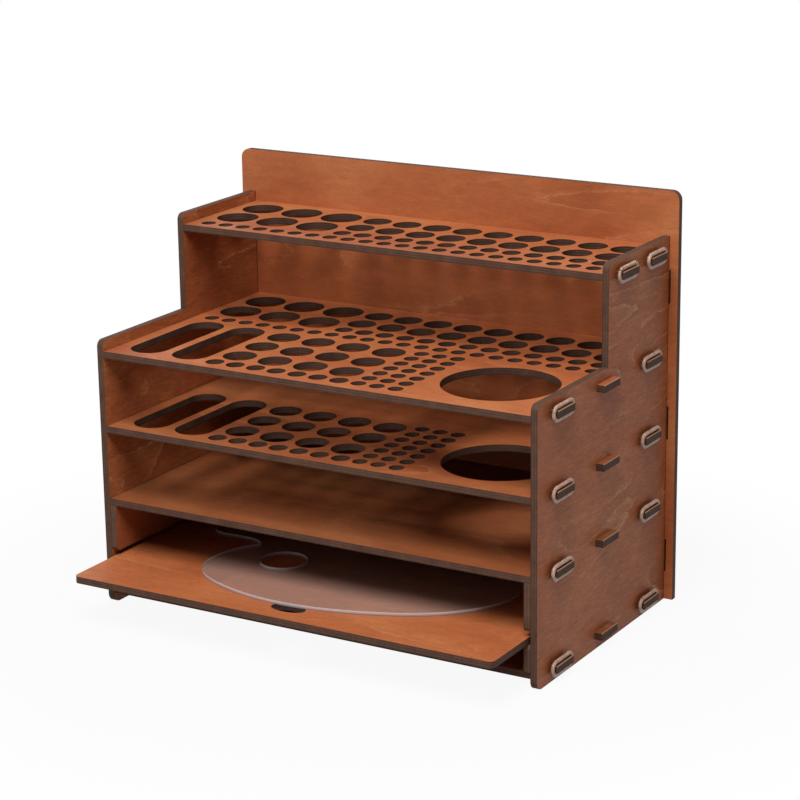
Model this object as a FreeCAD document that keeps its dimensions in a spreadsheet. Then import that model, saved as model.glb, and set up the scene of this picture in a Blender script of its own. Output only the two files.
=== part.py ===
import FreeCAD, Part
import math
import os

import Sketcher

# A flat-pack hobby organizer in laser-cut plywood: two stepped side panels, a back panel,
# three pierced racks, a shelf, a base board and a pull-out tray with a palette on it.
# X runs across, Y from the front to the back and Z up, in millimetres. The frame's origin
# is on the floor, midway across and midway between the tray's front edge and the rear tabs.

sizes = {
    # case
    "outerWidth": 420.0,       # over the side panels' outer faces
    "caseDepth": 238.0,        # side panel's front edge to the back panel
    "ply": 6.0,                # plywood thickness
    "lowerHeight": 236.0,      # side panel's front step
    "upperHeight": 322.0,      # side panel's rear step
    "upperSetback": 123.0,     # front edge to the rear step
    "stepRadius": 6.0,         # rounded corners of the steps
    "footRadius": 8.0,         # rounded front corner at the floor
    "backRise": 38.0,          # back panel above the side panels
    "backOverhang": 8.0,       # back panel past each side panel
    "backRadius": 8.0,
    # boards
    "baseTop": 15.0,
    "baseSetback": 2.0,        # base board's front edge behind the side panels'
    "shelfTop": 96.0,
    "lowerRackTop": 161.0,
    "rackDrop": 9.0,           # middle and top racks below the steps of the side panels
    # tabs and their slots
    "tabLength": 29.0,
    "tabOut": 7.0,             # tab past the panel that it goes through
    "frontTab": 36.0,          # front edge to the front tab's middle
    "rearTab": 40.0,           # back panel to the rear tab's middle
    "topFrontTab": 27.0,       # top rack's front edge to its front tab's middle
    "topRearTab": 33.0,        # back panel to the top rack's rear tab's middle
    "sideTabLow": 40.0,        # floor to the lowest rear tab's middle
    "sideTabHigh": 44.0,       # highest rear tab's middle to the side panel's top
    "slotPlay": 0.15,          # round each tab in its slot
    "backSlotSlack": 1.4,      # extra slot width outside each side panel
    # rubber bands
    "bandWire": 3.3,           # diameter of the band's section
    "bandLift": 0.95,          # clear of the tab's broad faces
    "bandSeat": 4.0,           # middle of the band from the panel
    "bandPlay": 0.1,           # clear of the notches
    "notchDepth": 1.0,
    "notchPlay": 0.2,          # each side of the band in its notch
    # tray and runners
    "lowerRunnerTop": 38.0,
    "grooveHeight": 11.0,      # between the lower and the upper runner
    "runnerRadius": 4.0,
    "slideGap": 0.2,           # under what slides
    "traySidePlay": 2.5,
    "trayGap": 6.0,            # tray shorter than the case
    "trayOut": 58.0,           # how far the tray stands out of the case
    "trayRadius": 5.0,
    "fingerWidth": 32.0,
    "fingerDepth": 17.0,
    "fingerInset": 23.0,       # tray's front edge to the finger hole's middle
    # palette
    "paletteWidth": 318.0,
    "paletteDepth": 200.0,
    "paletteThick": 3.0,
    "paletteInset": 25.5,      # tray's front edge to the palette
    "paletteShift": -5.8,      # palette's middle from the tray's middle
    "thumbHole": 41.0,
    "thumbShift": -56.0,       # thumb hole's middle from the palette's middle
    "thumbInset": 86.0,        # palette's front edge to the thumb hole's middle
    # pierced racks
    "web": 3.0,                # least wood left between two rows
    "potHole": 37.0,
    "potSide": 27.5,           # left side panel to the first pot hole's middle
    "potRear": 29.6,           # back panel to the rear pot row
    "potPitch": 41.4,
    "potColumns": 3,
    "potRowPitch": 40.4,
    "bottleHole": 25.5,
    "bottleSide": 21.3,        # right side panel to the last bottle hole's middle
    "bottleRear": 28.2,
    "bottlePitch": 30.0,
    "bottleRowPitch": 29.3,
    "brushHole": 16.0,
    "brushSide": 17.6,
    "brushPitch": 20.6,
    "brushStep": 18.9,         # fine row to the brush row
    "fineHole": 13.0,
    "fineLeft": 17.5,          # left side panel to the first fine hole's middle
    "fineRight": 15.1,         # right side panel to the last one's
    "fineInset": 14.3,         # top rack's front edge to the fine row
    "fineCount": 22,
    "tubSlot": 34.0,           # width of the long slots
    "tubSide": 29.7,
    "tubPitch": 42.7,
    "tubFront": 11.0,          # front edge to the slots
    "tubWeb": 5.8,             # slots to the fine row
    "inkHole": 29.0,
    "inkWeb": 7.4,             # second slot to the first ink hole
    "frontWeb": 5.8,           # second slot to the front row's first hole
    "inkFront": 42.0,
    "inkPitch": 35.0,
    "inkRowPitch": 33.8,
    "frontRow": 17.0,          # front edge to the front row
    "frontPitch": 20.2,
    "gridPitch": 17.3,         # fine grid beside the jar hole
    "gridRowPitch": 16.9,
    "gridColumns": 3,
    "gridWeb": 11.8,           # fine grid to the jar hole
    "jarHole": 98.0,
    "jarSide": 63.2,           # right side panel to the jar hole's middle
    "jarFront": 68.8,
}

doc = FreeCAD.newDocument("HobbyOrganizer")
sheet = doc.addObject("Spreadsheet::Sheet", "dim")
for row, (alias, value) in enumerate(sizes.items(), start=1):
    sheet.set("A%d" % row, alias)
    sheet.set("B%d" % row, str(value))
    sheet.setAlias("B%d" % row, alias)
doc.recompute()

# places that several pieces share, as expressions over the sheet
innerWidth = "(dim.outerWidth - 2 * dim.ply)"
innerHalf = "(dim.outerWidth / 2 - dim.ply)"
caseFront = "(-(dim.caseDepth + dim.ply + dim.tabOut - dim.trayOut) / 2)"
trayFront = "(%s - dim.trayOut)" % caseFront
backHeight = "(dim.upperHeight + dim.backRise)"
sideTabPitch = "((dim.upperHeight - dim.sideTabLow - dim.sideTabHigh) / 2)"
trayWidth = "(%s - 2 * dim.traySidePlay)" % innerWidth
trayDepth = "(dim.caseDepth - dim.trayGap)"
trayBottom = "(dim.lowerRunnerTop + dim.slideGap)"
upperRunnerBottom = "(dim.lowerRunnerTop + dim.grooveHeight)"
notchWidth = "(dim.bandWire + 2 * dim.notchPlay)"
fineRow = "(dim.upperSetback + dim.fineInset)"
fineEdge = "(%s - dim.fineHole / 2)" % fineRow
brushRow = "(%s + dim.brushStep)" % fineRow
jarX = "(%s - dim.jarSide)" % innerHalf
gridRight = "(%s - dim.jarHole / 2 - dim.gridWeb - dim.fineHole / 2)" % jarX
gridLeft = "(%s - (dim.gridColumns - 1) * dim.gridPitch)" % gridRight
tubFirst = "(-%s + dim.tubSide)" % innerHalf
tubLast = "(%s + dim.tubPitch)" % tubFirst
inkFirst = "(%s + dim.tubSlot / 2 + dim.inkWeb + dim.inkHole / 2)" % tubLast
frontFirst = "(%s + dim.tubSlot / 2 + dim.frontWeb + dim.brushHole / 2)" % tubLast
potFirst = "(-%s + dim.potSide)" % innerHalf
potEdge = "(%s + (dim.potColumns - 1) * dim.potPitch + dim.potHole / 2)" % potFirst


def number(expression):
    """Value of an expression over the sheet."""
    return float(sheet.evalExpression(expression))


def copies(room, pitch):
    """How many holes at a pitch fit in the room from the first middle to the last."""
    return "(floor((%s) / %s) + 1)" % (room, pitch)


def originPlane(body, role):
    return next(feature for feature in body.Origin.OriginFeatures if feature.Role == role)


def newBody(name, x, y, z):
    """A body whose place in the frame is bound to the sheet."""
    body = doc.addObject("PartDesign::Body", name)
    body.Label = name
    for axis, expression in zip("xyz", (x, y, z)):
        body.setExpression("Placement.Base." + axis, expression)
    return body


def newSketch(body, name, plane="XY_Plane"):
    sketch = body.newObject("Sketcher::SketchObject", name)
    sketch.AttachmentSupport = [(originPlane(body, plane), "")]
    sketch.MapMode = "FlatFace"
    return sketch


def bind(sketch, constraint, expression):
    """Adds a dimension to a sketch and ties it to an expression."""
    index = sketch.addConstraint(Sketcher.Constraint(*constraint, number(expression)))
    sketch.setExpression("Constraints[%d]" % index, expression)


def pinPoint(sketch, geometry, point, x, y):
    bind(sketch, ("DistanceX", -1, 1, geometry, point), x)
    bind(sketch, ("DistanceY", -1, 1, geometry, point), y)


def polygon(sketch, corners):
    """A closed outline of straight edges through corners given as pairs of expressions."""
    points = [FreeCAD.Vector(number(x), number(y), 0) for x, y in corners]
    first = sketch.GeometryCount
    for start, end in zip(points, points[1:] + points[:1]):
        sketch.addGeometry(Part.LineSegment(start, end), False)
    for step, (x, y) in enumerate(corners):
        before = first + (step - 1) % len(corners)
        sketch.addConstraint(Sketcher.Constraint("Coincident", before, 2, first + step, 1))
        pinPoint(sketch, first + step, 1, x, y)


def rectangle(sketch, left, right, front, rear):
    polygon(sketch, [(left, front), (right, front), (right, rear), (left, rear)])


def circle(sketch, x, y, diameter):
    centre = FreeCAD.Vector(number(x), number(y), 0)
    radius = number(diameter) / 2
    index = sketch.addGeometry(Part.Circle(centre, FreeCAD.Vector(0, 0, 1), radius), False)
    pinPoint(sketch, index, 3, x, y)
    bind(sketch, ("Diameter", index), diameter)


def obround(sketch, low, high, across, radius, along="x"):
    """A slot outline with round ends at low and high along one axis, centred at across."""
    def place(run, side):
        return (run, side) if along == "x" else (side, run)
    ends = [place(high, across), place(low, across)]
    centres = [FreeCAD.Vector(number(x), number(y), 0) for x, y in ends]
    reach = number(radius)
    turn = 0.0 if along == "x" else math.pi / 2
    arcs = []
    for centre, start in zip(centres, (turn - math.pi / 2, turn + math.pi / 2)):
        ring = Part.Circle(centre, FreeCAD.Vector(0, 0, 1), reach)
        arcs.append(sketch.addGeometry(Part.ArcOfCircle(ring, start, start + math.pi), False))
    lines = []
    for one, other in ((0, 1), (1, 0)):
        start = sketch.getPoint(arcs[one], 2)
        end = sketch.getPoint(arcs[other], 1)
        lines.append(sketch.addGeometry(Part.LineSegment(start, end), False))
        sketch.addConstraint(Sketcher.Constraint("Tangent", arcs[one], 2, lines[-1], 1))
        sketch.addConstraint(Sketcher.Constraint("Tangent", lines[-1], 2, arcs[other], 1))
    for arc, (x, y) in zip(arcs, ends):
        pinPoint(sketch, arc, 3, x, y)
    sketch.addConstraint(Sketcher.Constraint("Equal", arcs[0], arcs[1]))
    bind(sketch, ("Radius", arcs[0]), radius)


def pad(body, name, sketch, length="dim.ply"):
    feature = body.newObject("PartDesign::Pad", name)
    feature.Profile = sketch
    feature.setExpression("Length", length)
    sketch.Visibility = False
    return feature


def pocket(body, name, sketch):
    """Cuts a sketch on an origin plane through the sheet that is padded from that plane."""
    feature = body.newObject("PartDesign::Pocket", name)
    feature.Profile = sketch
    feature.Type = "ThroughAll"
    feature.Reversed = True
    return feature


def pattern(body, name, original, sketch, run, rows, leftward, frontward):
    """Repeats a hole across the sheet, and in depth where rows is given: (count, pitch)."""
    feature = body.newObject("PartDesign::LinearPattern", name)
    feature.Originals = [original]
    feature.Direction = (sketch, ["H_Axis"])
    feature.Reversed = leftward
    feature.Mode = "Spacing"
    feature.setExpression("Occurrences", run[0])
    feature.setExpression("Offset", run[1])
    if rows:
        feature.Direction2 = (sketch, ["V_Axis"])
        feature.Reversed2 = frontward
        feature.setExpression("Occurrences2", rows[0])
        feature.setExpression("Length2", "(%s - 1) * %s" % rows)
    body.Tip = feature


def mirror(body, name, originals):
    feature = body.newObject("PartDesign::Mirrored", name)
    feature.Originals = originals
    feature.MirrorPlane = (originPlane(body, "YZ_Plane"), [""])
    body.Tip = feature
    return feature


def roundCorners(body, name, radius, corners, plane="XY"):
    """Rounds the edges that run through the sheet at the given corners of its outline."""
    doc.recompute()
    solid = body.Tip
    wanted = [(number(x), number(y)) for x, y in corners]
    picked = []
    for index, edge in enumerate(solid.Shape.Edges, start=1):
        ends = [vertex.Point for vertex in edge.Vertexes]
        flat = [{"XY": (p.x, p.y), "YZ": (p.y, p.z), "XZ": (p.x, p.z)}[plane] for p in ends]
        if len(flat) == 2 and math.dist(*flat) < 1e-6:
            if any(math.dist(flat[0], corner) < 1e-4 for corner in wanted):
                picked.append("Edge%d" % index)
    if len(picked) != len(wanted):
        raise RuntimeError("%s: %d of %d corners found" % (name, len(picked), len(wanted)))
    feature = body.newObject("PartDesign::Fillet", name)
    feature.Base = (solid, picked)
    feature.setExpression("Radius", radius)
    body.Tip = feature


def bandedTabs(body, plane, edge, first, spacing, count, mirrored):
    """Notched tabs that stand out of a sheet's edge along its sketch's x axis."""
    out = "(%s + dim.ply + dim.tabOut)" % edge
    notchIn = "(%s + dim.ply + dim.bandSeat - %s / 2)" % (edge, notchWidth)
    front = "(%s - dim.tabLength / 2)" % first
    rear = "(%s + dim.tabLength / 2)" % first
    tabSketch = newSketch(body, "TabSketch", plane)
    rectangle(tabSketch, "(%s - dim.ply)" % edge, out, front, rear)
    tab = pad(body, "Tab", tabSketch)
    notchSketch = newSketch(body, "NotchSketch", plane)
    for low, high in ((front, "(%s + dim.notchDepth)" % front), ("(%s - dim.notchDepth)" % rear, rear)):
        rectangle(notchSketch, notchIn, "(%s + %s)" % (notchIn, notchWidth), low, high)
    notch = pocket(body, "Notches", notchSketch)
    repeat = body.newObject("PartDesign::LinearPattern", "TabRun")
    repeat.Direction = (tabSketch, ["V_Axis"])
    repeat.Mode = "Spacing"
    repeat.setExpression("Occurrences", count)
    repeat.setExpression("Offset", spacing)
    steps = [repeat]
    if mirrored:
        across = body.newObject("PartDesign::Mirrored", "TabMirror")
        across.MirrorPlane = (originPlane(body, "YZ_Plane"), [""])
        steps.append(across)
    tabs = body.newObject("PartDesign::MultiTransform", "Tabs")
    tabs.Originals = [tab, notch]
    tabs.Transformations = steps
    body.Tip = tabs


# boards that lie between the side panels: top, front edge, middles of the front and rear tab
deepTabs = ("dim.frontTab", "(dim.caseDepth - dim.rearTab)")
boards = {
    "base_board": ("dim.baseTop", "dim.baseSetback", *deepTabs),
    "shelf_board": ("dim.shelfTop", "0", *deepTabs),
    "lower_rack": ("dim.lowerRackTop", "0", *deepTabs),
    "middle_rack": ("(dim.lowerHeight - dim.rackDrop)", "0", *deepTabs),
    "top_rack": ("(dim.upperHeight - dim.rackDrop)", "dim.upperSetback",
                 "(dim.upperSetback + dim.topFrontTab)", "(dim.caseDepth - dim.topRearTab)"),
}


def middleTab(name):
    """Middle of a deep board's plain tab."""
    top, edge, front, rear = boards[name]
    return "((%s + %s) / 2)" % (front, rear)


def makeBoard(name):
    """A board with its banded tabs, and a plain tab each side of the deep ones."""
    top, edge, front, rear = boards[name]
    body = newBody(name, "0", caseFront, "%s - dim.ply" % top)
    outline = newSketch(body, "Outline")
    rectangle(outline, "-" + innerHalf, innerHalf, edge, "dim.caseDepth")
    pad(body, "Board", outline)
    bandedTabs(body, "XY_Plane", innerHalf, front, "(%s - %s)" % (rear, front), "2", True)
    if name != "top_rack":
        middle = middleTab(name)
        sketch = newSketch(body, "MiddleTabSketch")
        rectangle(sketch, "(%s - dim.ply)" % innerHalf, "(%s + dim.ply + dim.tabOut)" % innerHalf,
                  "(%s - dim.tabLength / 2)" % middle, "(%s + dim.tabLength / 2)" % middle)
        tab = pad(body, "MiddleTab", sketch)
        mirror(body, "MiddleTabs", [tab])
    return body


def drill(body, name, x, y, diameter, run, rows=None, leftward=False, frontward=False):
    """A row or a grid of round holes from its first hole's middle: (count, pitch) each way."""
    sketch = newSketch(body, name + "Sketch")
    circle(sketch, x, y, diameter)
    hole = pocket(body, name + "Hole", sketch)
    pattern(body, name, hole, sketch, run, rows, leftward, frontward)


def drillRear(body):
    """The holes at the back, which line up through the top and the middle rack."""
    finePitch = "((%s - dim.fineLeft - dim.fineRight) / (dim.fineCount - 1))" % innerWidth
    drill(body, "FineRow", "(-%s + dim.fineLeft)" % innerHalf, fineRow, "dim.fineHole",
          ("dim.fineCount", finePitch))
    potRear = "(dim.caseDepth - dim.potRear)"
    potRows = "%s - %s - dim.fineHole / 2 - dim.web - dim.potHole / 2" % (potRear, fineRow)
    drill(body, "Pots", potFirst, potRear, "dim.potHole", ("dim.potColumns", "dim.potPitch"),
          (copies(potRows, "dim.potRowPitch"), "dim.potRowPitch"), frontward=True)
    brushLast = "(%s - dim.brushSide)" % innerHalf
    brushRun = "%s - %s - dim.web - dim.brushHole / 2" % (brushLast, potEdge)
    drill(body, "Brushes", brushLast, brushRow, "dim.brushHole",
          (copies(brushRun, "dim.brushPitch"), "dim.brushPitch"), leftward=True)
    bottleLast = "(%s - dim.bottleSide)" % innerHalf
    bottleRear = "(dim.caseDepth - dim.bottleRear)"
    bottleRun = "%s - %s - dim.web - dim.bottleHole / 2" % (bottleLast, potEdge)
    bottleRows = "%s - %s - dim.brushHole / 2 - dim.web - dim.bottleHole / 2" % (bottleRear, brushRow)
    drill(body, "Bottles", bottleLast, bottleRear, "dim.bottleHole",
          (copies(bottleRun, "dim.bottlePitch"), "dim.bottlePitch"),
          (copies(bottleRows, "dim.bottleRowPitch"), "dim.bottleRowPitch"),
          leftward=True, frontward=True)


def drillFront(body):
    """The holes at the front, which line up through the middle and the lower rack."""
    tubRear = "(%s - dim.tubWeb)" % fineEdge
    tubRadius = "(dim.tubSlot / 2)"
    for step, across in enumerate((tubFirst, tubLast), start=1):
        sketch = newSketch(body, "TubSketch%d" % step)
        obround(sketch, "(dim.tubFront + %s)" % tubRadius, "(%s - %s)" % (tubRear, tubRadius),
                across, tubRadius, "y")
        pocket(body, "Tub%d" % step, sketch)
    inkRun = "%s - dim.fineHole / 2 - dim.web - dim.inkHole / 2 - %s" % (gridLeft, inkFirst)
    inkRows = "%s - dim.web - dim.inkHole / 2 - dim.inkFront" % fineEdge
    drill(body, "Inks", inkFirst, "dim.inkFront", "dim.inkHole",
          (copies(inkRun, "dim.inkPitch"), "dim.inkPitch"),
          (copies(inkRows, "dim.inkRowPitch"), "dim.inkRowPitch"))
    frontRun = "%s - dim.fineHole / 2 - dim.web - dim.brushHole / 2 - %s" % (gridLeft, frontFirst)
    drill(body, "FrontRow", frontFirst, "dim.frontRow", "dim.brushHole",
          (copies(frontRun, "dim.frontPitch"), "dim.frontPitch"))
    gridRows = "%s - dim.web - dim.fineHole / 2 - dim.frontRow" % fineEdge
    drill(body, "FineGrid", gridLeft, "dim.frontRow", "dim.fineHole",
          ("dim.gridColumns", "dim.gridPitch"), (copies(gridRows, "dim.gridRowPitch"), "dim.gridRowPitch"))
    sketch = newSketch(body, "JarSketch")
    circle(sketch, jarX, "dim.jarFront", "dim.jarHole")
    body.Tip = pocket(body, "Jar", sketch)


def makeSidePanel(name, x):
    """A stepped side panel: slots for the boards' tabs and banded tabs of its own behind."""
    body = newBody(name, x, caseFront, "0")
    outline = newSketch(body, "Outline", "YZ_Plane")
    polygon(outline, [("0", "0"), ("dim.caseDepth", "0"), ("dim.caseDepth", "dim.upperHeight"),
                      ("dim.upperSetback", "dim.upperHeight"), ("dim.upperSetback", "dim.lowerHeight"),
                      ("0", "dim.lowerHeight")])
    pad(body, "Panel", outline)
    bandedTabs(body, "YZ_Plane", "dim.caseDepth", "dim.sideTabLow", sideTabPitch, "3", False)
    slots = newSketch(body, "SlotSketch", "YZ_Plane")
    for board, (top, edge, front, rear) in boards.items():
        middles = [front, rear] if board == "top_rack" else [front, middleTab(board), rear]
        for middle in middles:
            rectangle(slots, "(%s - dim.tabLength / 2 - dim.slotPlay)" % middle,
                      "(%s + dim.tabLength / 2 + dim.slotPlay)" % middle,
                      "(%s - dim.ply - dim.slotPlay)" % top, "(%s + dim.slotPlay)" % top)
    body.Tip = pocket(body, "Slots", slots)
    roundCorners(body, "StepCorners", "dim.stepRadius",
                 [("0", "dim.lowerHeight"), ("dim.upperSetback", "dim.upperHeight")], "YZ")
    roundCorners(body, "FootCorner", "dim.footRadius", [("0", "0")], "YZ")
    return body


def makeBackPanel():
    """The back panel, wider than the case, with slots for the side panels' tabs."""
    body = newBody("back_panel", "0", "(%s + dim.caseDepth)" % caseFront, "0")
    half = "(dim.outerWidth / 2 + dim.backOverhang)"
    outline = newSketch(body, "Outline", "XZ_Plane")
    rectangle(outline, "-" + half, half, "0", backHeight)
    panel = pad(body, "Panel", outline)
    panel.Reversed = True
    slots = newSketch(body, "SlotSketch", "XZ_Plane")
    inside = "(%s - dim.slotPlay)" % innerHalf
    outside = "(%s + dim.ply + dim.backSlotSlack)" % innerHalf
    for low, high in (("-" + outside, "-" + inside), (inside, outside)):
        for step in range(3):
            middle = "(dim.sideTabLow + %d * %s)" % (step, sideTabPitch)
            rectangle(slots, low, high, "(%s - dim.tabLength / 2 - dim.slotPlay)" % middle,
                      "(%s + dim.tabLength / 2 + dim.slotPlay)" % middle)
    cut = pocket(body, "Slots", slots)
    cut.Reversed = False
    body.Tip = cut
    roundCorners(body, "Corners", "dim.backRadius",
                 [("-" + half, backHeight), (half, backHeight)], "XZ")
    return body


def makeRunner(name, side, low, high, roundAt):
    """A strip on a side panel's inner face; its front corner at the tray's groove is round."""
    x = innerHalf + " - dim.ply" if side > 0 else "-" + innerHalf
    body = newBody(name, x, caseFront, low)
    outline = newSketch(body, "Outline", "YZ_Plane")
    height = "(%s - %s)" % (high, low)
    rectangle(outline, "0", "dim.caseDepth", "0", height)
    body.Tip = pad(body, "Strip", outline)
    roundCorners(body, "Lead", "dim.runnerRadius", [("0", height if roundAt == "top" else "0")], "YZ")
    return body


def makeTray():
    """The pull-out tray: a plain board with round corners and an oval finger hole."""
    body = newBody("slide_tray", "0", trayFront, trayBottom)
    outline = newSketch(body, "Outline")
    half = "(%s / 2)" % trayWidth
    rectangle(outline, "-" + half, half, "0", trayDepth)
    pad(body, "Board", outline)
    finger = newSketch(body, "FingerSketch")
    centre = FreeCAD.Vector(0, number("dim.fingerInset"), 0)
    oval = Part.Ellipse(centre, number("dim.fingerWidth / 2"), number("dim.fingerDepth / 2"))
    index = finger.addGeometry(oval, False)
    finger.exposeInternalGeometry(index)
    pinPoint(finger, index, 3, "0", "dim.fingerInset")
    finger.addConstraint(Sketcher.Constraint("Horizontal", index + 1))
    bind(finger, ("Distance", index + 1), "dim.fingerWidth")
    bind(finger, ("Distance", index + 2), "dim.fingerDepth")
    body.Tip = pocket(body, "Finger", finger)
    corners = [(x, y) for x in ("-" + half, half) for y in ("0", trayDepth)]
    roundCorners(body, "Corners", "dim.trayRadius", corners)
    return body


# the palette's outline from its notch round the back: shares of its width and its depth
paletteOutline = [
    (-0.302, 0.556), (-0.404, 0.604), (-0.477, 0.620), (-0.500, 0.688), (-0.450, 0.830),
    (-0.295, 0.950), (-0.048, 1.000), (0.216, 0.950), (0.414, 0.782), (0.500, 0.541),
    (0.431, 0.273), (0.249, 0.089), (-0.015, 0.000), (-0.213, 0.055), (-0.345, 0.205),
    (-0.358, 0.362), (-0.302, 0.556),
]


def makePalette():
    """A kidney-shaped palette, a free curve with a sharp notch and a thumb hole."""
    width, depth = number("dim.paletteWidth"), number("dim.paletteDepth")
    curve = Part.BSplineCurve()
    curve.interpolate([FreeCAD.Vector(x * width, y * depth, 0) for x, y in paletteOutline])
    sheetFace = Part.Face(Part.Wire([curve.toShape()]))
    height = FreeCAD.Vector(0, 0, number("dim.paletteThick"))
    thumb = Part.makeCylinder(number("dim.thumbHole / 2"), height.z,
                              FreeCAD.Vector(number("dim.thumbShift"), number("dim.thumbInset"), 0))
    palette = doc.addObject("Part::Feature", "palette")
    palette.Label = "palette"
    palette.Shape = sheetFace.extrude(height).cut(thumb)
    palette.Placement.Base = FreeCAD.Vector(
        number("dim.paletteShift"), number(trayFront + " + dim.paletteInset"),
        number(trayBottom + " + dim.ply + dim.slideGap"))
    return palette


def makeBands(name, x, y, z, spinePlane, sectionPlane, count, spacing):
    """Rubber bands on a row of notched tabs, each a round section along a flat loop."""
    body = newBody(name, x, y, z)
    along = "x" if spinePlane == "YZ_Plane" else "y"
    bow = "(dim.ply / 2 + dim.bandLift + dim.bandWire / 2)"
    inner = "(dim.ply / 2 + dim.bandLift)"
    neck = "(dim.tabLength / 2 - dim.notchDepth + dim.bandPlay)"
    reach = "(%s - sqrt(%s^2 - (dim.ply / 2)^2))" % (neck, inner)
    loop = newSketch(body, "LoopSketch", spinePlane)
    obround(loop, "-" + reach, reach, "0", bow, along)
    section = newSketch(body, "SectionSketch", sectionPlane)
    if along == "x":
        circle(section, "0", bow, "dim.bandWire")
    else:
        circle(section, bow, "0", "dim.bandWire")
    band = body.newObject("PartDesign::AdditivePipe", "Band")
    band.Profile = section
    band.Spine = loop
    repeat = body.newObject("PartDesign::LinearPattern", "BandRun")
    repeat.Originals = [band]
    repeat.Direction = (loop, ["H_Axis" if along == "x" else "V_Axis"])
    repeat.Mode = "Spacing"
    repeat.setExpression("Occurrences", count)
    repeat.setExpression("Offset", spacing)
    body.Tip = repeat
    return body


parts = [
    makeSidePanel("left_side_panel", "-" + innerHalf + " - dim.ply"),
    makeSidePanel("right_side_panel", innerHalf),
    makeBackPanel(),
]
made = {name: makeBoard(name) for name in boards}
drillRear(made["top_rack"])
drillRear(made["middle_rack"])
drillFront(made["middle_rack"])
drillFront(made["lower_rack"])
parts += list(made.values())

for side, sign in (("left", -1), ("right", 1)):
    parts.append(makeRunner(side + "_lower_runner", sign, "dim.baseTop", "dim.lowerRunnerTop", "top"))
    parts.append(makeRunner(side + "_upper_runner", sign, upperRunnerBottom,
                            "(dim.shelfTop - dim.ply)", "bottom"))
    for name, (top, edge, front, rear) in boards.items():
        parts.append(makeBands("%s_%s_bands" % (name, side), "%d * (dim.outerWidth / 2 + dim.bandSeat)" % sign,
                               "(%s + %s)" % (caseFront, front), "(%s - dim.ply / 2)" % top,
                               "YZ_Plane", "XZ_Plane", "2", "(%s - %s)" % (rear, front)))
    parts.append(makeBands("back_%s_bands" % side, "%d * (dim.outerWidth / 2 - dim.ply / 2)" % sign,
                           "(%s + dim.caseDepth + dim.ply + dim.bandSeat)" % caseFront, "dim.sideTabLow",
                           "XZ_Plane", "XY_Plane", "3", sideTabPitch))

parts.append(makeTray())
parts.append(makePalette())
doc.recompute()

for thing in doc.Objects:
    if "Invalid" in thing.State or "Error" in thing.State:
        raise RuntimeError("%s did not recompute: %s" % (thing.Label, thing.State))
for part in parts:
    if part.Shape.isNull() or not part.Shape.isValid():
        raise RuntimeError("%s has no valid shape" % part.Label)

os.makedirs("parts", exist_ok=True)
for part in parts:
    part.Shape.exportStep("parts/%s.step" % part.Label)
    box = part.Shape.BoundBox
    print("%-26s %8.1f cm3  x %7.1f..%-7.1f y %7.1f..%-7.1f z %6.1f..%-6.1f" % (
        part.Label, part.Shape.Volume / 1000, box.XMin, box.XMax, box.YMin, box.YMax, box.ZMin, box.ZMax))
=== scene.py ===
import math
import random

import bmesh
import bpy
from mathutils import Matrix, Vector


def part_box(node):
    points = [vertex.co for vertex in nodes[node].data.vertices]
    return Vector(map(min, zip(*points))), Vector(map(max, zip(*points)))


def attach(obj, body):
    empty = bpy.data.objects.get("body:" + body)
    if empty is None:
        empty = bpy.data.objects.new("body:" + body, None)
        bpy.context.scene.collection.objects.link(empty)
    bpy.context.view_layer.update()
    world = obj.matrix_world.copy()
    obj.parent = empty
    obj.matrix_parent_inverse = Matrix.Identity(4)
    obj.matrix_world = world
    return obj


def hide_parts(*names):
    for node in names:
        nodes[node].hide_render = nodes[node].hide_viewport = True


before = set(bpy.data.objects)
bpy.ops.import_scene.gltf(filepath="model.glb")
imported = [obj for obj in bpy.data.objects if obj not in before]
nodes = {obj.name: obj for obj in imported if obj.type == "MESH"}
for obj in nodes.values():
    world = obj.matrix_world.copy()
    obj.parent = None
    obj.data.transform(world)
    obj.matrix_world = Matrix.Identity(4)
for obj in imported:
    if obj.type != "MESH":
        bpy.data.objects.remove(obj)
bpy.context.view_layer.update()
print("frame loaded: %d nodes" % len(nodes))

mm = 0.001


def hexColour(text, alpha=1.0):  # sRGB hex to linear
    channels = [int(text[i:i + 2], 16) / 255 for i in (1, 3, 5)]
    linear = [c / 12.92 if c <= 0.04045 else ((c + 0.055) / 1.055) ** 2.4 for c in channels]
    return (*linear, alpha)


def newMaterial(name):
    material = bpy.data.materials.new(name)
    material.use_nodes = True
    material.node_tree.nodes.clear()
    return material


# adds a node: settings are its properties, inputs are values, or sockets or nodes to link
def addNode(tree, kind, settings=None, inputs=None):
    node = tree.nodes.new(kind)
    for key, value in (settings or {}).items():
        setattr(node, key, value)
    for key, value in (inputs or {}).items():
        if isinstance(value, bpy.types.Node):
            value = value.outputs[0]
        if isinstance(value, bpy.types.NodeSocket):
            tree.links.new(value, node.inputs[key])
        else:
            node.inputs[key].default_value = value
    return node


def setStops(ramp, stops, blend="LINEAR"):
    ramp.color_ramp.interpolation = blend
    elements = ramp.color_ramp.elements
    while len(elements) < len(stops):
        elements.new(1.0)
    for element, (place, colour) in zip(elements, stops):
        element.position = place
        isHex = isinstance(colour, str)
        element.color = hexColour(colour) if isHex else (colour, colour, colour, 1.0)


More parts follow.
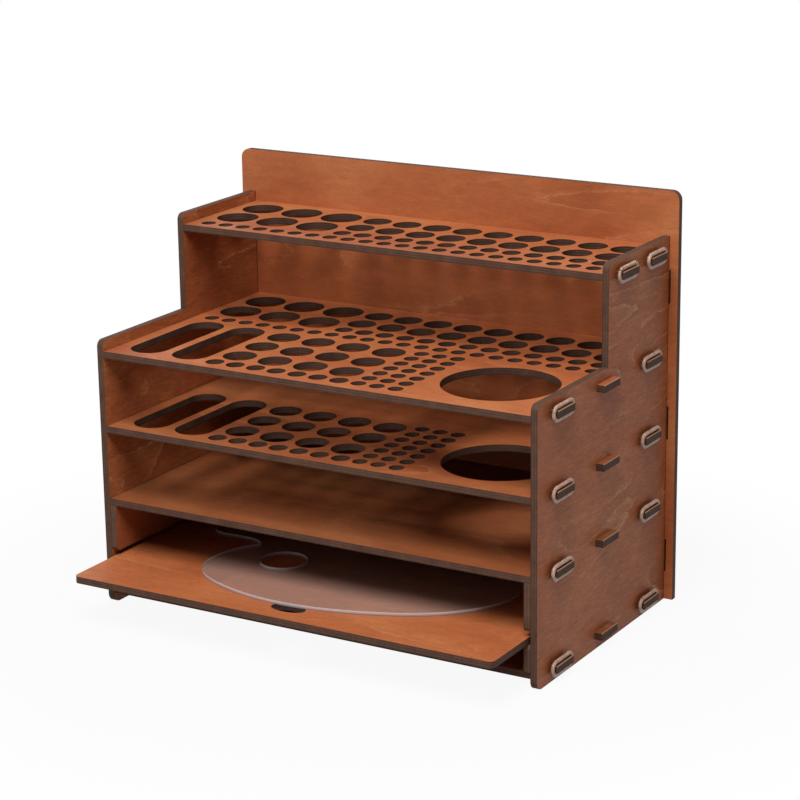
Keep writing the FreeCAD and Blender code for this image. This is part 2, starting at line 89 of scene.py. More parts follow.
# Birch plywood, rotary cut and wiped with a red-brown oil stain: the eye sees a fine short fibre,
# a stain that is cloudy in short patches, and a few faint growth rings that wander and break off.
stainedBirch = {
    "deep": "#96502D",         # where the stain pooled
    "body": "#A25B35",
    "pale": "#AC673E",         # early wood that took less stain
    "ring": "#CB9669",         # growth-ring edges
    "late": "#7E4225",         # late wood just under each ring edge
    "lateShare": 0.45,
    "pore": "#5E3019",
    "poreShare": 0.32,
    "sooty": 0.34,             # tabs under the rubber rings: laser browning and painted ring shade
    "bareShare": 0.25,         # how much of that the plain tab midway gets
    "cornerHighlight": "#B9947A",          # painted highlight along a tab's outer corner
    "cornerHighlightWidth": 1.1,           # mm
    "jointShadow": 0.42,              # painted contact shadow on a board close to the panel it butts against
    "jointShadowWidth": 2.0,          # mm
    "figureWidth": 105.0,      # mm, the growth rings' figure across the grain
    "figureLength": 520.0,     # mm along the grain
    "rings": 15.0,             # rings over the figure's full height
    "shownWidth": 55.0,        # mm, the places where the rings show
    "shownLength": 170.0,
    "ragWidth": 3.4,           # mm, the small teeth of a ring edge
    "ragLength": 14.0,
    "ragShare": 0.34,          # their reach, of the way to the next ring
    "rippleWidth": 2.4,        # mm, short wavy streaks where the knife tore the figure
    "rippleLength": 15.0,
    "cloudWidth": 90.0,        # mm, stain clouds
    "cloudLength": 150.0,
    "patchWidth": 9.0,         # mm, short patches where the stain took unevenly
    "patchLength": 26.0,
    "fibreWidth": 0.8,         # mm; real fibres are finer, drawn as coarse as the render needs
    "fibreLength": 7.0,
    "mottleWidth": 3.2,        # mm, the broader streaks that fibres make together
    "mottleLength": 15.4,
    "poreWidth": 0.6,          # mm, drawn a little coarse
    "poreLength": 3.6,
    "relief": 0.12,            # mm, how deep fibres and pores stand
    "roughness": 0.52,
    "polish": 0.07,            # how much smoother the fibres' crests are
    "ior": 1.46,
    "specular": 0.24,          # a wiped stain leaves little sheen
}


# a sheet's face: along is the grain's axis, offset picks a part of the log, and the shares say
# how strongly growth rings, fibres and ripples show
def makeVeneer(name, along, offset, stainAndShadeTone, ringShare, fibreShare, rippleShare, tabs=None,
               look=stainedBirch):
    material = newMaterial(name)
    tree = material.node_tree
    output = addNode(tree, "ShaderNodeOutputMaterial")
    place = addNode(tree, "ShaderNodeTexCoord").outputs["Object"]

    def grain(width, length, detail, distortion=0.0):  # mm across and along the grain
        scale = [1 / ((length if axis == along else width) * mm) for axis in "xyz"]
        spot = addNode(tree, "ShaderNodeMapping", {}, {
            "Vector": place, "Location": (offset, offset * 0.7, offset * 0.4), "Scale": scale})
        return addNode(tree, "ShaderNodeTexNoise", {}, {
            "Vector": spot, "Scale": 1.0, "Detail": detail, "Roughness": 0.55,
            "Distortion": distortion})

    figure = addNode(tree, "ShaderNodeMath", {"operation": "MULTIPLY"}, {
        0: grain(look["figureWidth"], look["figureLength"], 1.5, 0.3), 1: look["rings"]})
    ragged = addNode(tree, "ShaderNodeMath", {"operation": "MULTIPLY_ADD"}, {
        0: grain(look["ragWidth"], look["ragLength"], 2.0), 1: look["ragShare"], 2: figure})
    turn = addNode(tree, "ShaderNodeMath", {"operation": "FRACT"}, {0: ragged})
    edge = addNode(tree, "ShaderNodeValToRGB", {}, {"Fac": turn})
    setStops(edge, [(0.0, 0.0), (0.025, 1.0), (0.06, 0.3), (0.26, 0.0)])
    under = addNode(tree, "ShaderNodeValToRGB", {}, {"Fac": turn})
    setStops(under, [(0.0, 0.0), (0.72, 0.0), (0.98, look["lateShare"]), (1.0, 0.0)])
    shown = addNode(tree, "ShaderNodeMapRange", {"interpolation_type": "SMOOTHSTEP"}, {
        "Value": grain(look["shownWidth"], look["shownLength"], 2.0),
        "From Min": 0.46, "From Max": 0.64, "To Min": 0.06 * ringShare, "To Max": ringShare})

    figured = addNode(tree, "ShaderNodeValToRGB", {}, {
        "Fac": grain(look["cloudWidth"], look["cloudLength"], 2.5, 0.2)})
    setStops(figured, [(0.32, look["deep"]), (0.50, look["body"]), (0.68, look["pale"])], "EASE")
    for band, colour in ((under, look["late"]), (edge, look["ring"])):
        share = addNode(tree, "ShaderNodeMath", {"operation": "MULTIPLY"}, {0: band, 1: shown})
        figured = addNode(tree, "ShaderNodeMix", {"data_type": "RGBA"}, {
            0: share, 6: figured, 7: hexColour(colour)}).outputs[2]

    fibre = grain(look["fibreWidth"], look["fibreLength"], 3.0)
    mottle = grain(look["mottleWidth"], look["mottleLength"], 3.0)
    patches = grain(look["patchWidth"], look["patchLength"], 3.0, 0.6)
    ripples = grain(look["rippleWidth"], look["rippleLength"], 3.5, 1.1)
    tone = stainAndShadeTone
    for pattern, low, least, most in ((fibre, 0.3, 1 - fibreShare, 1 + fibreShare),
                                      (mottle, 0.3, 1 - fibreShare * 0.7, 1 + fibreShare * 0.7),
                                      (patches, 0.35, 0.94, 1.05),
                                      (ripples, 0.34, 1 - rippleShare, 1 + rippleShare)):
        part = addNode(tree, "ShaderNodeMapRange", {}, {
            "Value": pattern, "From Min": low, "From Max": 1 - low,
            "To Min": least, "To Max": most})
        tone = addNode(tree, "ShaderNodeMath", {"operation": "MULTIPLY"}, {0: part, 1: tone})

    if tabs:
        parts = addNode(tree, "ShaderNodeSeparateXYZ", {}, {0: place}).outputs
        reach = addNode(tree, "ShaderNodeMath", {"operation": "ABSOLUTE"}, {
            0: parts["xyz".index(tabs["axis"])]})
        aside = addNode(tree, "ShaderNodeMath", {"operation": "SUBTRACT"}, {
            0: parts["xyz".index(tabs["row"])], 1: tabs["plain"]})
        aside = addNode(tree, "ShaderNodeMath", {"operation": "ABSOLUTE"}, {0: aside})
        banded = addNode(tree, "ShaderNodeMapRange", {}, {  # past the plain tab's half length
            "Value": aside, "From Min": 16 * mm, "From Max": 17 * mm, "To Min": look["bareShare"]})
        outside = addNode(tree, "ShaderNodeMapRange", {}, {
            "Value": reach, "From Min": tabs["start"] - 0.3 * mm,
            "From Max": tabs["start"] + 1.2 * mm})
        # tab tops darkened: laser browning, with painted shade under the rubber rings; the plain
        # tab, with no ring, gets less
        soot = addNode(tree, "ShaderNodeMath", {"operation": "MULTIPLY"}, {0: banded, 1: outside})
        inSlot = addNode(tree, "ShaderNodeMapRange", {}, {
            "Value": reach, "From Min": tabs["start"] - 0.6 * mm,
            "From Max": tabs["start"] - 0.3 * mm})
        # painted contact shadow near the panel that the sheet butts against, left off inside the
        # slot
        joint = addNode(tree, "ShaderNodeMapRange", {}, {
            "Value": reach, "From Min": tabs["joint"] - look["jointShadowWidth"] * mm,
            "From Max": tabs["joint"] - 0.5 * mm})
        joint = addNode(tree, "ShaderNodeMath", {"operation": "SUBTRACT"}, {0: joint, 1: inSlot})
        for share, darkest in ((soot, look["sooty"]), (joint, look["jointShadow"])):
            dark = addNode(tree, "ShaderNodeMapRange", {}, {
                "Value": share, "To Min": 1.0, "To Max": darkest})
            tone = addNode(tree, "ShaderNodeMath", {"operation": "MULTIPLY"}, {0: tone, 1: dark})
        # painted highlight: a pale line along each tab's outer corner
        cornerHighlight = addNode(tree, "ShaderNodeMapRange", {}, {
            "Value": reach, "From Min": tabs["end"] - look["cornerHighlightWidth"] * mm,
            "From Max": tabs["end"] - (look["cornerHighlightWidth"] - 0.4) * mm, "To Max": 0.8})
        figured = addNode(tree, "ShaderNodeMix", {"data_type": "RGBA"}, {
            0: cornerHighlight, 6: figured, 7: hexColour(look["cornerHighlight"])}).outputs[2]
        tone = addNode(tree, "ShaderNodeMath", {"operation": "MAXIMUM"}, {0: tone, 1: cornerHighlight})

    pores = addNode(tree, "ShaderNodeMapRange", {}, {
        "Value": grain(look["poreWidth"], look["poreLength"], 0.0),
        "From Min": 0.66, "From Max": 0.76, "To Max": look["poreShare"]})
    toned = addNode(tree, "ShaderNodeMix", {"data_type": "RGBA", "blend_type": "MULTIPLY"}, {
        0: 1.0, 6: figured, 7: tone}).outputs[2]
    pored = addNode(tree, "ShaderNodeMix", {"data_type": "RGBA"}, {
        0: pores, 6: toned, 7: hexColour(look["pore"])}).outputs[2]
    relief = addNode(tree, "ShaderNodeMath", {"operation": "SUBTRACT"}, {0: fibre, 1: pores})
    bump = addNode(tree, "ShaderNodeBump", {}, {
        "Height": relief, "Strength": 0.25, "Distance": look["relief"] * mm})
    roughness = addNode(tree, "ShaderNodeMapRange", {}, {
        "Value": fibre, "From Min": 0.2, "From Max": 0.8,
        "To Min": look["roughness"] + look["polish"], "To Max": look["roughness"] - look["polish"]})
    shader = addNode(tree, "ShaderNodeBsdfPrincipled", {}, {
        "Base Color": pored, "Roughness": roughness, "Normal": bump, "IOR": look["ior"],
        "Specular IOR Level": look["specular"]})
    tree.links.new(shader.outputs[0], output.inputs["Surface"])
    return material


# The laser-cut edge of 6 mm birch plywood: charred brown, with five plies between thin dark glue
# lines; the plies cut across the grain stay a little paler, and the walls of holes and slots are
# drawn darker, painted shade for their recesses.
charredEdge = {
    "plies": [(0.00, "#412C23"), (0.10, "#52392E"), (0.18, "#422F26"), (0.25, "#5E4336"),
              (0.36, "#5B4135"), (0.43, "#443128"), (0.50, "#573E33"), (0.57, "#443128"),
              (0.65, "#5F4437"), (0.76, "#5A4034"), (0.83, "#422F26"), (0.91, "#573E32"),
              (1.00, "#503A2F")],
    "sooty": 0.78,             # painted highlight on the upper corner of the tabs' ends
    "hole": 0.66,              # walls of holes and slots: painted shade for their recess
    "runner": 1.2,             # tone of the runners' short ends, less burnt
    "cornerHighlight": "#A88872",          # their upper corner, rubbed bare
    "cornerHighlightShare": 0.75,
    "sootSize": 14.0,          # mm, patches of soot along the cut
    "waver": 0.18,             # mm, how far the plies wander
    "striation": 0.6,          # mm between the beam's fine vertical marks
    "relief": 0.1,             # mm, the marks' depth
    "roughness": 0.66,
    "ior": 1.45,
    "specular": 0.14,          # char is nearly matte
}


# a cut edge: axis runs across the plies, and low is where the first ply starts
def makeEdge(name, axis, low, tone=1.0, tabs=None, thickness=6.0 * mm, look=charredEdge):
    material = newMaterial(name)
    tree = material.node_tree
    output = addNode(tree, "ShaderNodeOutputMaterial")
    place = addNode(tree, "ShaderNodeTexCoord").outputs["Object"]
    parts = addNode(tree, "ShaderNodeSeparateXYZ", {}, {0: place}).outputs
    soot = addNode(tree, "ShaderNodeTexNoise", {}, {
        "Vector": place, "Scale": 1 / (look["sootSize"] * mm), "Detail": 4.0, "Roughness": 0.6})
    wander = addNode(tree, "ShaderNodeMapRange", {}, {
        "Value": soot, "From Min": 0.3, "From Max": 0.7,
        "To Min": low - look["waver"] * mm, "To Max": low + look["waver"] * mm})
    depth = addNode(tree, "ShaderNodeMath", {"operation": "SUBTRACT"}, {
        0: parts["xyz".index(axis)], 1: wander})
    share = addNode(tree, "ShaderNodeMath", {"operation": "DIVIDE"}, {0: depth, 1: thickness})
    plies = addNode(tree, "ShaderNodeValToRGB", {}, {"Fac": share})
    setStops(plies, look["plies"])
    fine = 1 / (look["striation"] * mm)  # across the cut; along the beam the marks run long
    marks = addNode(tree, "ShaderNodeMapping", {}, {
        "Vector": place, "Scale": [fine * (0.06 if a == axis else 1) for a in "xyz"]})
    striae = addNode(tree, "ShaderNodeTexNoise", {}, {
        "Vector": marks, "Scale": 1.0, "Detail": 2.0, "Roughness": 0.6})

    shades = [(soot, 0.3, 0.72, 0.74 * tone, 1.16 * tone), (striae, 0.3, 0.7, 0.86, 1.12)]
    if tabs:
        reach = addNode(tree, "ShaderNodeMath", {"operation": "ABSOLUTE"}, {
            0: parts["xyz".index(tabs["axis"])]})
        panelFace = tabs["start"]
        shades.append((reach, panelFace - 0.3 * mm, panelFace + 1.2 * mm, 1.0, look["sooty"]))
    burnt = plies.outputs[0]
    for pattern, start, end, least, most in shades:
        shade = addNode(tree, "ShaderNodeMapRange", {}, {
            "Value": pattern, "From Min": start, "From Max": end, "To Min": least, "To Max": most})
        burnt = addNode(tree, "ShaderNodeMix", {"data_type": "RGBA", "blend_type": "MULTIPLY"}, {
            0: 1.0, 6: burnt, 7: shade}).outputs[2]
    # painted highlight: a pale line along the upper corner of each tab's end
    if tabs:
        upper = addNode(tree, "ShaderNodeMapRange", {}, {
            "Value": share, "From Min": 0.88, "From Max": 0.94, "To Max": look["cornerHighlightShare"]})
        outer = addNode(tree, "ShaderNodeMapRange", {}, {
            "Value": reach, "From Min": tabs["end"] - 0.6 * mm, "From Max": tabs["end"] - 0.2 * mm})
        cornerHighlight = addNode(tree, "ShaderNodeMath", {"operation": "MULTIPLY"}, {0: upper, 1: outer})
        burnt = addNode(tree, "ShaderNodeMix", {"data_type": "RGBA"}, {
            0: cornerHighlight, 6: burnt, 7: hexColour(look["cornerHighlight"])}).outputs[2]
    bump = addNode(tree, "ShaderNodeBump", {}, {
        "Height": striae, "Strength": 0.3, "Distance": look["relief"] * mm})
    shader = addNode(tree, "ShaderNodeBsdfPrincipled", {}, {
        "Base Color": burnt, "Roughness": look["roughness"], "Normal": bump, "IOR": look["ior"],
        "Specular IOR Level": look["specular"]})
    tree.links.new(shader.outputs[0], output.inputs["Surface"])
    return material


# node: the axis across the sheet, the axis that its face grain follows, the axis of its tabs, and
# how the sheet took the stain, as a tone; the base board, shelf board and lower rack are darker
# still, painted shade for the inside of the case
sheets = {
    "left_side_panel": ("x", "y", "y", 0.96),
    "right_side_panel": ("x", "y", "y", 0.93),
    "back_panel": ("y", "x", None, 1.0),
    # the next three tones hold painted shade for the inside of the case
    "base_board": ("z", "x", "x", 0.62),
    "shelf_board": ("z", "x", "x", 0.60),
    "lower_rack": ("z", "x", "x", 0.76),
    "middle_rack": ("z", "x", "x", 1.0),
    "top_rack": ("z", "x", "x", 0.96),
    "slide_tray": ("z", "x", None, 1.04),
    "left_lower_runner": ("x", "y", None, 0.9),
    "left_upper_runner": ("x", "y", None, 0.95),
    "right_lower_runner": ("x", "y", None, 0.9),
    "right_upper_runner": ("x", "y", None, 0.95),
}
figureShares = {"side": (0.78, 0.14, 0.15), "other": (0.34, 0.09, 0.03)}  # rings, fibres, ripples
outlineReach = 3 * mm          # cut faces nearer to the outline than this aren't hole walls
grainStep = 3.7                # each sheet comes from another part of the log
noPlainTab = -1.0              # m, out of every tab's reach


def dressSheet(name, across, along, tabAxis, tone, offset):
    sheet = nodes[name]
    isSide = name.endswith("side_panel")
    index = "xyz".index(across)
    low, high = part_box(name)
    tabs = None
    if tabAxis:  # the tabs stand out of the panel that they go through
        panel = "back_panel" if isSide else "right_side_panel"
        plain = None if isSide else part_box(name + "_right_bands")  # a board's plain tab is midway
        near, far = [corner["xyz".index(tabAxis)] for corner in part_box(panel)]
        tabs = {"axis": tabAxis, "joint": near, "start": far, "end": high["xyz".index(tabAxis)],
                "row": "z" if isSide else "y",
                "plain": (plain[0].y + plain[1].y) / 2 if plain else noPlainTab}
    shares = figureShares["side" if isSide else "other"]
    edgeTone = charredEdge["runner"] if name.endswith("runner") else 1.0
    sheet.data.materials.clear()
    for material in (makeVeneer("stainedBirch_" + name, along, offset, tone, *shares, tabs),
                     makeEdge("charredEdge_" + name, across, low[index], edgeTone, tabs),
                     # hole and slot walls darker: painted shade for their recesses
                     makeEdge("shadedHoleWall_" + name, across, low[index], charredEdge["hole"])):
        sheet.data.materials.append(material)
    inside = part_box("right_side_panel")[0].x - outlineReach
    for face in sheet.data.polygons:
        cut = abs(face.normal[index]) < 0.9
        x, y = face.center.xy
        hole = (across == "z" and abs(x) < inside
                and low.y + outlineReach < y < high.y - outlineReach)
        face.material_index = (2 if hole else 1) if cut else 0


for step, (name, facts) in enumerate(sheets.items()):
    dressSheet(name, *facts, grainStep * step)
print("sheets dressed")

# Natural rubber rings, moulded and stretched round each tab: a dull tan with a broad soft
# highlight, a faint bloom, and crinkles where a ring was rolled on, their creases darkened as
# painted shade.
rubberRing = {
    "body": "#A8846F", "shade": "#876A55", "bloom": "#BDA08B", "roughness": 0.34, "ior": 1.52,
    "bloomSize": 5.0,          # mm, patches of bloom
    "grainSize": 0.7,          # mm, the mould's fine texture
    "relief": 0.08,            # mm, its depth
    "stepsAlong": 240, "stepsAround": 14,
    "flatter": 1.22,           # the section stretched across the tab, as a pulled ring is
    "waver": 0.14,             # mm, the section's uneven thickness
    "crinklePitch": 3.1,       # mm; real creases are finer, drawn as coarse as the render needs
    "crinkleDepth": 1.0,       # mm on the most crinkled ring
    "creaseShadeTone": 0.34,        # painted shade in its creases, as a tone
    "creaseStart": 0.45,       # the share of a crinkle's depth past which it counts as a crease
    "crinkled": "top_rack_right_bands",
    "lightCrinkle": 0.3,       # the other rings' share of that depth, at most
}


def makeRubber(name, level=1.0, look=rubberRing):
    material = newMaterial(name)
    tree = material.node_tree
    output = addNode(tree, "ShaderNodeOutputMaterial")
    place = addNode(tree, "ShaderNodeTexCoord").outputs["Object"]
    cloud = addNode(tree, "ShaderNodeTexNoise", {}, {
        "Vector": place, "Scale": 1 / (look["bloomSize"] * mm), "Detail": 4.0, "Roughness": 0.6})
    tone = addNode(tree, "ShaderNodeValToRGB", {}, {"Fac": cloud})
    setStops(tone, [(0.3, look["shade"]), (0.5, look["body"]), (0.7, look["bloom"])])
    grain = addNode(tree, "ShaderNodeTexNoise", {}, {
        "Vector": place, "Scale": 1 / (look["grainSize"] * mm), "Detail": 2.0})
    bump = addNode(tree, "ShaderNodeBump", {}, {
        "Height": grain, "Strength": 0.2, "Distance": look["relief"] * mm})
    # a level below 1 darkens the rubber: painted shade for the creases
    colour = addNode(tree, "ShaderNodeMix", {"data_type": "RGBA", "blend_type": "MULTIPLY"}, {
        0: 1.0, 6: tone, 7: (level, level, level, 1.0)}).outputs[2]
    shader = addNode(tree, "ShaderNodeBsdfPrincipled", {}, {
        "Base Color": colour, "Roughness": look["roughness"], "Normal": bump,
        "IOR": look["ior"]})
    tree.links.new(shader.outputs[0], output.inputs["Surface"])
    return material


# point and outward normal at a length along a flat loop of two straight runs and two round ends
def loopPoint(length, reach, bow):
    for centre, start in ((reach, -math.pi / 2), (-reach, math.pi / 2)):
        if length < math.pi * bow:
            turn = start + length / bow
            normal = (math.cos(turn), math.sin(turn))
            return (centre + bow * normal[0], bow * normal[1]), normal
        length -= math.pi * bow
        side = math.sin(start + math.pi)
        if length < 2 * reach:
            return (side * (reach - length), side * bow), (0.0, side)
        length -= 2 * reach
    return (reach, -bow), (0.0, -1.0)


# one ring into the mesh: axes are those out of the panel, along the tab and across it, and half
# holds the ring's half sizes
def addRing(shape, middle, axes, half, crinkle, chance):
    look = rubberRing
    out, run, across = axes
    radius = half["out"]
    wide = radius * look["flatter"]
    bow = half["across"] - radius
    inward = (half["across"] - wide) / bow
    reach = half["run"] - half["across"]
    around = 2 * math.pi * bow + 4 * reach
    phases = [chance.uniform(0, 6.28) for _ in range(3)]
    rows = []
    creased = []
    for i in range(look["stepsAlong"]):
        share = i / look["stepsAlong"]
        (u, v), (nu, nv) = loopPoint(share * around, reach, bow)
        wave = sum(math.sin(6.2832 * (k + 2) * share + phase) for k, phase in enumerate(phases)) / 3
        thinner = look["waver"] * mm * (0.5 + 0.5 * wave)
        onTop = max(0.0, nv) if nv > 0.15 else 0.0
        crests = share * around / (look["crinklePitch"] * mm)
        crease = onTop * (0.5 + 0.5 * math.cos(6.2832 * crests))
        thinner += crinkle * look["crinkleDepth"] * mm * crease
        creased.append(crinkle * crease > look["creaseStart"])
        section = radius - thinner
        row = []
        for j in range(look["stepsAround"]):
            angle = 2 * math.pi * j / look["stepsAround"]
            place = Vector(middle)
            place[run] += u + nu * section * math.cos(angle)
            place[across] += v * inward + nv * (wide - thinner) * math.cos(angle)
            place[out] += section * math.sin(angle)
            row.append(shape.verts.new(place))
        rows.append(row)
    for i, row in enumerate(rows):
        ahead = rows[(i + 1) % len(rows)]
        for j in range(len(row)):
            k = (j + 1) % len(row)
            face = shape.faces.new((row[j], ahead[j], ahead[k], row[k]))
            face.smooth = True
            # faces in a crease take the darker rubber, painted shade
            face.material_index = 1 if creased[i] else 0


# where each ring of a row starts and ends along an axis
def ringSpans(mesh, run):
    shape = bmesh.new()
    shape.from_mesh(mesh)
    bmesh.ops.remove_doubles(shape, verts=shape.verts, dist=0.001 * mm)
    waiting = set(shape.verts)
    spans = []
    while waiting:
        front = [waiting.pop()]
        reached = []
        while front:
            vertex = front.pop()
            reached.append(vertex.co[run])
            near = {edge.other_vert(vertex) for edge in vertex.link_edges} & waiting
            waiting -= near
            front += near
        spans.append((min(reached), max(reached)))
    shape.free()
    return sorted(spans)


# one object for a row of rings, in the places of the CAD rings
def makeRings(name, rubbers, chance):
    low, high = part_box(name)
    size = high - low
    run, out, across = (2, 1, 0) if name.startswith("back") else (1, 0, 2)
    shape = bmesh.new()
    for index, (start, end) in enumerate(ringSpans(nodes[name].data, run)):
        middle = (low + high) / 2
        middle[run] = (start + end) / 2
        half = {"out": size[out] / 2, "across": size[across] / 2, "run": (end - start) / 2}
        strong = name == rubberRing["crinkled"] and index == 0
        crinkle = 1.0 if strong else chance.uniform(0.0, rubberRing["lightCrinkle"])
        addRing(shape, middle, (out, run, across), half, crinkle, chance)
    bmesh.ops.recalc_face_normals(shape, faces=shape.faces)
    mesh = bpy.data.meshes.new("rubberRings_" + name)
    shape.to_mesh(mesh)
    shape.free()
    rings = bpy.data.objects.new("rubberRings_" + name, mesh)
    bpy.context.scene.collection.objects.link(rings)
    for rubber in rubbers:
        mesh.materials.append(rubber)
    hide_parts(name)
    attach(rings, "case")


chance = random.Random(7)
# the second rubber is the painted shade in the creases
rubbers = [makeRubber("naturalRubber_moulded"),
           makeRubber("naturalRubber_creaseShaded", rubberRing["creaseShadeTone"])]
for name in sorted(nodes):
    if name.endswith("_bands"):
        makeRings(name, rubbers, chance)
print("rubber rings made")

# Frosted acrylic sheet, laser cut: a cool milky haze over what lies below, and flame-polished
# edges drawn with a painted highlight along the upper corner and painted shade towards the lower
# one.
frostedAcrylic = {
    "haze": "#AEA8A4",
    "hazeAlpha": 0.16,         # how much of what lies below the haze hides, at each face
    "frostSize": 1.2,          # mm
    "frostDepth": 0.05,        # mm
    "roughness": 0.34,
    "ior": 1.49,
    # edge colour from the lower corner (0) to the upper (1): painted shade below, painted highlight
    # above
    "edge": [(0.0, "#8D7F80"), (0.30, "#AFA3A5"), (0.55, "#BEB4B6"), (0.68, "#DAD3D6"),
             (1.0, "#E4DEE0")],
    "edgeAlpha": 0.70,
    "edgeRoughness": 0.30,
    "edgeSpecular": 0.12,
}


def makeAcrylicFace(name, look=frostedAcrylic):
    material = newMaterial(name)
    tree = material.node_tree
    output = addNode(tree, "ShaderNodeOutputMaterial")
    place = addNode(tree, "ShaderNodeTexCoord").outputs["Object"]
    frost = addNode(tree, "ShaderNodeTexNoise", {}, {
        "Vector": place, "Scale": 1 / (look["frostSize"] * mm), "Detail": 3.0, "Roughness": 0.7})
    tone = addNode(tree, "ShaderNodeMapRange", {}, {
        "Value": frost, "From Min": 0.3, "From Max": 0.7, "To Min": 0.94, "To Max": 1.04})
    hazy = addNode(tree, "ShaderNodeMix", {"data_type": "RGBA", "blend_type": "MULTIPLY"}, {
        0: 1.0, 6: hexColour(look["haze"]), 7: tone}).outputs[2]
    bump = addNode(tree, "ShaderNodeBump", {}, {
        "Height": frost, "Strength": 0.15, "Distance": look["frostDepth"] * mm})
    shader = addNode(tree, "ShaderNodeBsdfPrincipled", {}, {
        "Base Color": hazy, "Roughness": look["roughness"], "Normal": bump, "IOR": look["ior"],
        "Alpha": look["hazeAlpha"]})
    tree.links.new(shader.outputs[0], output.inputs["Surface"])
    return material


def makeAcrylicEdge(name, low, thickness, look=frostedAcrylic):
    material = newMaterial(name)
    tree = material.node_tree
    output = addNode(tree, "ShaderNodeOutputMaterial")
    place = addNode(tree, "ShaderNodeTexCoord").outputs["Object"]
    height = addNode(tree, "ShaderNodeSeparateXYZ", {}, {0: place}).outputs[2]
    share = addNode(tree, "ShaderNodeMapRange", {}, {
        "Value": height, "From Min": low, "From Max": low + thickness})
    # painted highlight at the upper corner and painted shade lower down, by height
    line = addNode(tree, "ShaderNodeValToRGB", {}, {"Fac": share})
    setStops(line, look["edge"])
    shader = addNode(tree, "ShaderNodeBsdfPrincipled", {}, {
        "Base Color": line, "Roughness": look["edgeRoughness"], "IOR": look["ior"],
        "Specular IOR Level": look["edgeSpecular"], "Alpha": look["edgeAlpha"]})
    tree.links.new(shader.outputs[0], output.inputs["Surface"])
    return material


palette = nodes["palette"]
paletteLow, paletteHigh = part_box("palette")
paletteThickness = paletteHigh.z - paletteLow.z
palette.data.materials.clear()
palette.data.materials.append(makeAcrylicFace("frostedAcrylic_cast"))
palette.data.materials.append(
    makeAcrylicEdge("acrylicEdge_paintedHighlight", paletteLow.z, paletteThickness))
for face in palette.data.polygons:
    face.material_index = 0 if abs(face.normal.z) > 0.9 else 1
print("palette dressed")

studio = {
    "floorSize": 30.0,         # m
    "floorColour": "#BEBEBE",  # what the object gets back from the floor
    "shadowReach": 0.55,       # m, the floor shows its shadow this far from the middle
    "shadowShare": 0.07,       # how much of the floor that the camera sees is lit, not white
    "worldColour": "#FFFFFF",
    "worldStrength": 0.135,
    "keyPlace": (0.36, -1.06, 2.05),  # m, with sizes in m and powers in W
    "keySize": (1.0, 1.3),
    "keyPower": 62.0,
    "fillPlace": (-2.0, -1.4, 1.0),
    "fillSize": (1.6, 1.6),
    "fillPower": 9.0,
    "aim": (0, 0, 0.15),       # where both lamps point
}


# 1 for the rays by which the camera sees a thing, also in gloss and through clear sheets
def seenRays(tree):
    rays = addNode(tree, "ShaderNodeLightPath").outputs
    seen = rays["Is Camera Ray"]
    for ray in ("Is Glossy Ray", "Is Transmission Ray"):
        seen = addNode(tree, "ShaderNodeMath", {"operation": "MAXIMUM"}, {0: seen, 1: rays[ray]})
    return seen


def addFloor():
    size = studio["floorSize"] / 2
    corners = [(-size, -size, 0), (size, -size, 0), (size, size, 0), (-size, size, 0)]
    mesh = bpy.data.meshes.new("floor")
    mesh.from_pydata(corners, [], [(0, 1, 2, 3)])
    floor = bpy.data.objects.new("floor", mesh)
    bpy.context.scene.collection.objects.link(floor)
    material = newMaterial("paleStudioFloor")
    tree = material.node_tree
    output = addNode(tree, "ShaderNodeOutputMaterial")
    matte = addNode(tree, "ShaderNodeBsdfDiffuse", {}, {
        "Color": hexColour(studio["floorColour"])})
    glow = addNode(tree, "ShaderNodeEmission", {}, {"Color": (1, 1, 1, 1), "Strength": 1.0})
    place = addNode(tree, "ShaderNodeTexCoord").outputs["Object"]
    reach = addNode(tree, "ShaderNodeVectorMath", {"operation": "LENGTH"}, {0: place})
    white = addNode(tree, "ShaderNodeMapRange", {"interpolation_type": "SMOOTHSTEP"}, {
        "Value": reach.outputs["Value"],
        "From Min": studio["shadowReach"] * 0.5, "From Max": studio["shadowReach"],
        "To Min": 1 - studio["shadowShare"], "To Max": 1.0})
    share = addNode(tree, "ShaderNodeMath", {"operation": "MULTIPLY"}, {
        0: seenRays(tree), 1: white})
    both = addNode(tree, "ShaderNodeMixShader", {}, {0: share, 1: matte, 2: glow})
    tree.links.new(both.outputs[0], output.inputs["Surface"])
    floor.data.materials.append(material)


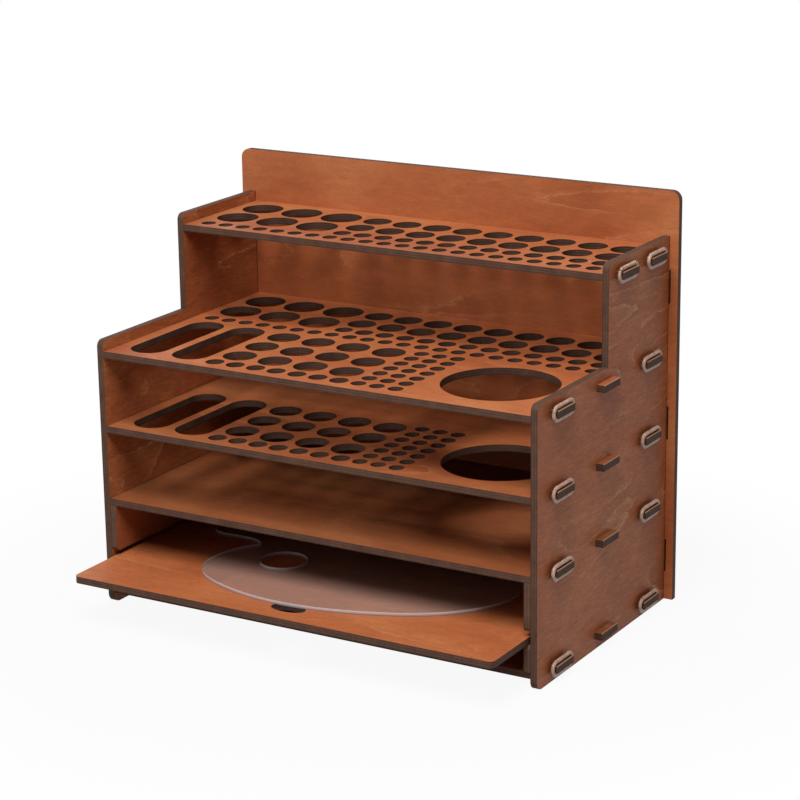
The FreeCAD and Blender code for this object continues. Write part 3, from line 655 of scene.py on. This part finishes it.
def addWorld():
    world = bpy.data.worlds.new("studio")
    bpy.context.scene.world = world
    world.use_nodes = True
    tree = world.node_tree
    tree.nodes.clear()
    output = addNode(tree, "ShaderNodeOutputWorld")
    light = addNode(tree, "ShaderNodeBackground", {}, {
        "Color": hexColour(studio["worldColour"]), "Strength": studio["worldStrength"]})
    white = addNode(tree, "ShaderNodeBackground", {}, {"Color": (1, 1, 1, 1), "Strength": 1.0})
    both = addNode(tree, "ShaderNodeMixShader", {}, {0: seenRays(tree), 1: light, 2: white})
    tree.links.new(both.outputs[0], output.inputs["Surface"])


def addLamp(name):
    data = bpy.data.lights.new(name, "AREA")
    data.shape = "RECTANGLE"
    data.size, data.size_y = studio[name + "Size"]
    data.energy = studio[name + "Power"]
    lamp = bpy.data.objects.new(name, data)
    lamp.location = studio[name + "Place"]
    aim = Vector(studio["aim"]) - lamp.location
    lamp.rotation_euler = aim.to_track_quat("-Z", "Y").to_euler()
    bpy.context.scene.collection.objects.link(lamp)


addFloor()
addWorld()
for lampName in ("key", "fill"):
    addLamp(lampName)
print("stage lit")

camera = {
    "place": (1.0675, -1.7493, 0.7843),  # m
    "yaw": 30.663,             # degrees, and the next two
    "pitch": 16.256,
    "roll": 0.744,
    "lens": 114.02,            # mm
    "sensor": 36.0,            # mm wide
}


def addCamera():
    yaw, pitch, roll = (math.radians(camera[key]) for key in ("yaw", "pitch", "roll"))
    flat = math.cos(pitch)
    ahead = Vector((-math.sin(yaw) * flat, math.cos(yaw) * flat, -math.sin(pitch)))
    level = Vector((math.cos(yaw), math.sin(yaw), 0))
    down = ahead.cross(level)
    right = level * math.cos(roll) + down * math.sin(roll)
    up = level * math.sin(roll) - down * math.cos(roll)
    data = bpy.data.cameras.new("camera")
    data.sensor_width = camera["sensor"]
    data.lens = camera["lens"]
    data.clip_end = 100
    eye = bpy.data.objects.new("camera", data)
    turn = Matrix((right, up, -ahead)).transposed().to_4x4()
    eye.matrix_world = Matrix.Translation(camera["place"]) @ turn
    bpy.context.scene.collection.objects.link(eye)
    bpy.context.scene.camera = eye


addCamera()
bpy.context.scene.view_settings.view_transform = "Standard"
print("camera set")
